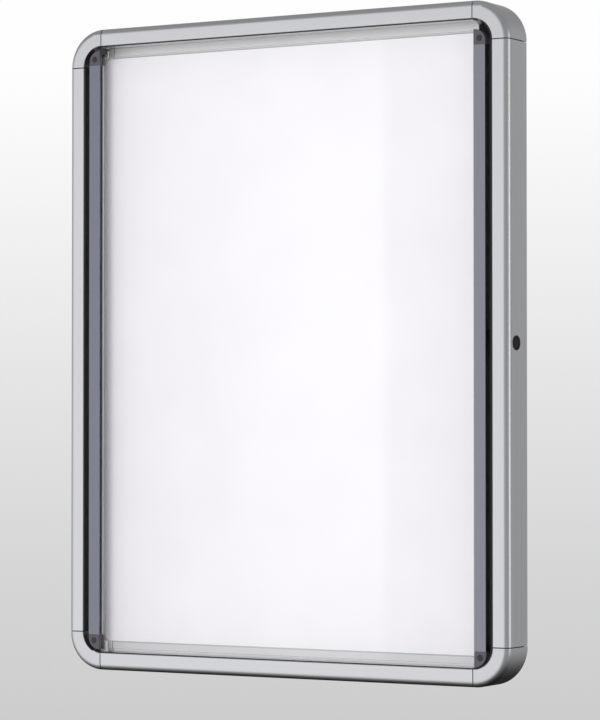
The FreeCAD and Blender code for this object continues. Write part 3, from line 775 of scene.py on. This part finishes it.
# %% [markdown]
# ## Screws and plugs
# Every screw here has a pan head with a cross recess. The head is a circle swept up its own
# axis while its radius follows a dome's curve, which gives a surface of revolution, and two
# crossed boxes are cut out of it. The tree puts one on each point of its mesh, facing the way
# that the point's own attribute says, with its cross turned by a fixed seed. The turns follow
# the order of the points, so the points are sorted by place and each run turns them alike.

# %% Build the tree for domed heads
dome_steps = 14
dome_reach = 0.92
dome_power = 4.0
head_sides = 28
shank_sides = 20
recess_depth_share = 1.1
recess_length_share = 1.05
overlap_share = 0.3
largest_twist = 3.14
twist_seed = 5


def build_head_tree(name, recessed):
    sizes = ("Head radius", "Head height", "Shank radius", "Shank length")
    tree, given = start_tree(name, *sizes, *(("Recess width",) if recessed else ()))
    start = Signal(tree)

    def upright(length):
        return start.add("ShaderNodeCombineXYZ", inputs={2: length})

    top = upright(given["Head height"])
    axis = start.add("GeometryNodeCurvePrimitiveLine", inputs={"End": top})
    axis = start.add("GeometryNodeResampleCurve", inputs={"Curve": axis, "Count": dome_steps})
    rise = start.add("GeometryNodeSplineParameter") * dome_reach
    dome = start.maths("SQRT", 1 - start.maths("POWER", rise, dome_power), 0.0)
    ring = start.add("GeometryNodeCurvePrimitiveCircle",
                     inputs={"Resolution": head_sides, "Radius": 1.0})
    head = start.add("GeometryNodeCurveToMesh", inputs={
        "Curve": axis, "Profile Curve": ring, "Scale": dome * given["Head radius"],
        "Fill Caps": True})
    if recessed:
        depth = given["Head height"] * recess_depth_share
        length, width = given["Head radius"] * recess_length_share, given["Recess width"]
        boxes = []
        for first, second in ((length, width), (width, length)):
            size = start.add("ShaderNodeCombineXYZ", inputs={0: first, 1: second, 2: depth})
            box = start.add("GeometryNodeMeshCube", inputs={"Size": size})
            boxes.append(start.add("GeometryNodeTransform", inputs={
                "Geometry": box, "Translation": top}))
        cross = start.add("GeometryNodeMeshBoolean", {"operation": "UNION", "solver": "EXACT"})
        cut = start.add("GeometryNodeMeshBoolean", {"operation": "DIFFERENCE", "solver": "EXACT"},
                        {"Mesh 1": head})
        for box in boxes:
            tree.links.new(box.output, cross.output.node.inputs["Mesh 2"])
        tree.links.new(cross.output, cut.output.node.inputs["Mesh 2"])
        head = cut
    overlap = given["Head height"] * overlap_share
    shank = start.add("GeometryNodeMeshCylinder", inputs={
        "Vertices": shank_sides, "Radius": given["Shank radius"],
        "Depth": given["Shank length"] + overlap})
    shank = start.add("GeometryNodeTransform", inputs={
        "Geometry": shank, "Translation": upright((overlap - given["Shank length"]) * 0.5)})
    joined = start.add("GeometryNodeJoinGeometry")
    for shape in (head, shank):
        tree.links.new(shape.output, joined.output.node.inputs[0])

    facing = start.add("GeometryNodeInputNamedAttribute", {"data_type": "FLOAT_VECTOR"},
                       {"Name": "facing"})
    aim = start.add("FunctionNodeAlignRotationToVector", {"axis": "Z"}, {"Vector": facing})
    twist = start.add("FunctionNodeRandomValue", {"data_type": "FLOAT"},
                      {3: largest_twist, "Seed": twist_seed}, 1)
    spin = start.add("FunctionNodeAxisAngleToRotation", inputs={"Angle": twist})
    aim = start.add("FunctionNodeRotateRotation", {"rotation_space": "LOCAL"}, {0: aim, 1: spin})
    placed = start.add("GeometryNodeInstanceOnPoints", inputs={
        "Points": given["Geometry"], "Instance": joined, "Rotation": aim})
    end_tree(tree, placed, given["Finish"])
    return tree


screw_tree = build_head_tree("cross_recess_screw", True)
plug_tree = build_head_tree("domed_plug", False)
print("nodes in the screw's tree", len(screw_tree.nodes))

# %% Measure where the screws sit on the solids, and dress them
recess_share = 0.26
level_tolerance = 0.01 * mm


def points_facing(places):
    """A mesh of loose points, each with the way it faces."""
    mesh = bpy.data.meshes.new("places")
    mesh.from_pydata([place for place, facing in places], [], [])
    ways = mesh.attributes.new("facing", "FLOAT_VECTOR", "POINT")
    for value, (place, facing) in zip(ways.data, places):
        value.vector = facing
    return mesh


def loose_parts(mesh):
    """The corners of each separate shell, sorted, so that every run gives the same lists."""
    taken = set()
    for first in mesh.verts:
        if first.index in taken:
            continue
        taken.add(first.index)
        shell, waiting = [], [first]
        while waiting:
            vert = waiting.pop()
            shell.append(vert.co.copy())
            for other in (edge.other_vert(vert) for edge in vert.link_edges):
                if other.index not in taken:
                    taken.add(other.index)
                    waiting.append(other)
        yield sorted(shell, key=tuple)


def by_place(screw):
    """A sort key in whole steps, which rounding errors don't change."""
    return [round(value / level_tolerance) for value in screw[0]]


def measure_screws(name, axis):
    """Each screw's seat and facing, and the four sizes they share."""
    mesh = merged_copy(name)
    mesh.verts.index_update()
    screws = []
    for shell in loose_parts(mesh):
        levels = sorted({round(spot[axis], 6) for spot in shell})
        low, high = levels[0], levels[-1]

        def radius_at(level):
            ring = [spot for spot in shell if abs(spot[axis] - level) < level_tolerance]
            spare = (axis + 1) % 3
            return (max(spot[spare] for spot in ring) - min(spot[spare] for spot in ring)) / 2

        way = 1 if radius_at(high) > radius_at(low) else -1
        top, lit_foot = (high, low) if way > 0 else (low, high)
        seat = levels[-2] if way > 0 else levels[1]
        centre = sum(shell, Vector()) / len(shell)
        centre[axis] = seat
        facing = Vector((0, 0, 0))
        facing[axis] = way
        sizes = {"Head_radius": radius_at(top), "Head_height": abs(top - seat),
                 "Shank_radius": radius_at(lit_foot), "Shank_length": abs(seat - lit_foot)}
        screws.append((centre, facing, sizes))
    mesh.free()
    screws.sort(key=by_place)
    return [(centre, facing) for centre, facing, sizes in screws], screws[0][2]


def dress_screws(name, axis):
    places, sizes = measure_screws(name, axis)
    made = run_tree(screw_tree, points_facing(places), finishes[name],
                    Recess_width=sizes["Head_radius"] * recess_share, **sizes)
    mesh = bmesh.new()
    mesh.from_mesh(made)
    piece = file_piece("detailed_" + name, mesh, finishes[name], name, even=False)
    print(piece.name, len(places), "head radius", round(sizes["Head_radius"] / mm, 2), "mm")


for name, axis in (("corner_screws", 1), ("cap_screws", 1), ("keeper_screws", 1),
                   ("cam_screw", 0)):
    dress_screws(name, axis)

# %% Close the round marks in the caps with dark plugs
mark_from_end = 9.0 * mm
mark_depth = 0.5 * mm
plug_places = []
for name, end in (("cap_hinge_top", 1), ("cap_hinge_bottom", -1),
                  ("cap_lock_top", 1), ("cap_lock_bottom", -1)):
    low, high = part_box(name)
    mark = high[2] - mark_from_end if end > 0 else low[2] + mark_from_end
    plug_places.append((((low[0] + high[0]) / 2, front + mark_depth, mark), (0, -1, 0)))
made = run_tree(plug_tree, points_facing(plug_places), plug_moulding, Head_radius=2.85 * mm,
                Head_height=0.45 * mm, Shank_radius=1.5 * mm, Shank_length=0.3 * mm)
mesh = bmesh.new()
mesh.from_mesh(made)
file_piece("cap_plugs", mesh, plug_moulding, "cap_lock_top", even=False, replace=False)
print("plugs", len(plug_places))

# %% [markdown]
# ## Seal
# A black rubber seal lies just inside the opening, and its round front edge shows as a dark
# line. That edge is a small circle swept along a path, which runs down the left side, along
# the top, and round the right side and the bottom in one length. At the right it leans towards
# the door, and it stops short of the bush in the upper right corner. The strips behind it are
# the measured solid's own.

# %% Sweep the seal's round edge along its paths
edge_sides = 14
seal_tree, given = start_tree("swept_edge", "Radius")
ring = Signal(seal_tree).add("GeometryNodeCurvePrimitiveCircle",
                             inputs={"Resolution": edge_sides, "Radius": given["Radius"]})
edge = Signal(seal_tree).add("GeometryNodeCurveToMesh", inputs={
    "Curve": given["Geometry"], "Profile Curve": ring, "Fill Caps": True})
end_tree(seal_tree, edge, given["Finish"])

edge_radius = 0.5 * mm
edge_inset = face_width + edge_radius
edge_depth = front + 1.0 * mm
edge_lean = 1.3 * mm
angle_past_bush = 55
centre_x, centre_z = corner_centre
turn_radius = corner_reach - edge_inset
side_x, level_z = half_width - edge_inset, half_height - edge_inset


def turn_points(sign_z, first, last, count=12):
    """Points round the upper (1) or lower (-1) right corner, by degrees from the level."""
    angles = [math.radians(first + (last - first) * step / count) for step in range(count + 1)]
    return [(centre_x + (turn_radius - edge_lean) * math.cos(angle), edge_depth,
             sign_z * (centre_z + turn_radius * math.sin(angle))) for angle in angles]


seal_paths = (
    [(-side_x, edge_depth, -centre_z), (-side_x, edge_depth, centre_z)],
    [(-centre_x, edge_depth, level_z), (centre_x, edge_depth, level_z)],
    turn_points(1, angle_past_bush, 0) + turn_points(-1, 0, 90)
    + [(-centre_x, edge_depth, -level_z)],
)
seal_curve = bpy.data.curves.new("seal_paths", "CURVE")
seal_curve.dimensions = "3D"
for path_points in seal_paths:
    spline = seal_curve.splines.new("POLY")
    spline.points.add(len(path_points) - 1)
    for point, place in zip(spline.points, path_points):
        point.co = (*place, 1)
made = run_tree(seal_tree, seal_curve, black_rubber, Radius=edge_radius)
mesh = merged_copy("opening_seal")
mesh.from_mesh(made)
seal = file_piece("detailed_seal", mesh, black_rubber, "opening_seal", even=False)
print("seal faces", len(seal.data.polygons))

bpy.context.scene.view_settings.view_transform = "Standard"
low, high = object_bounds()
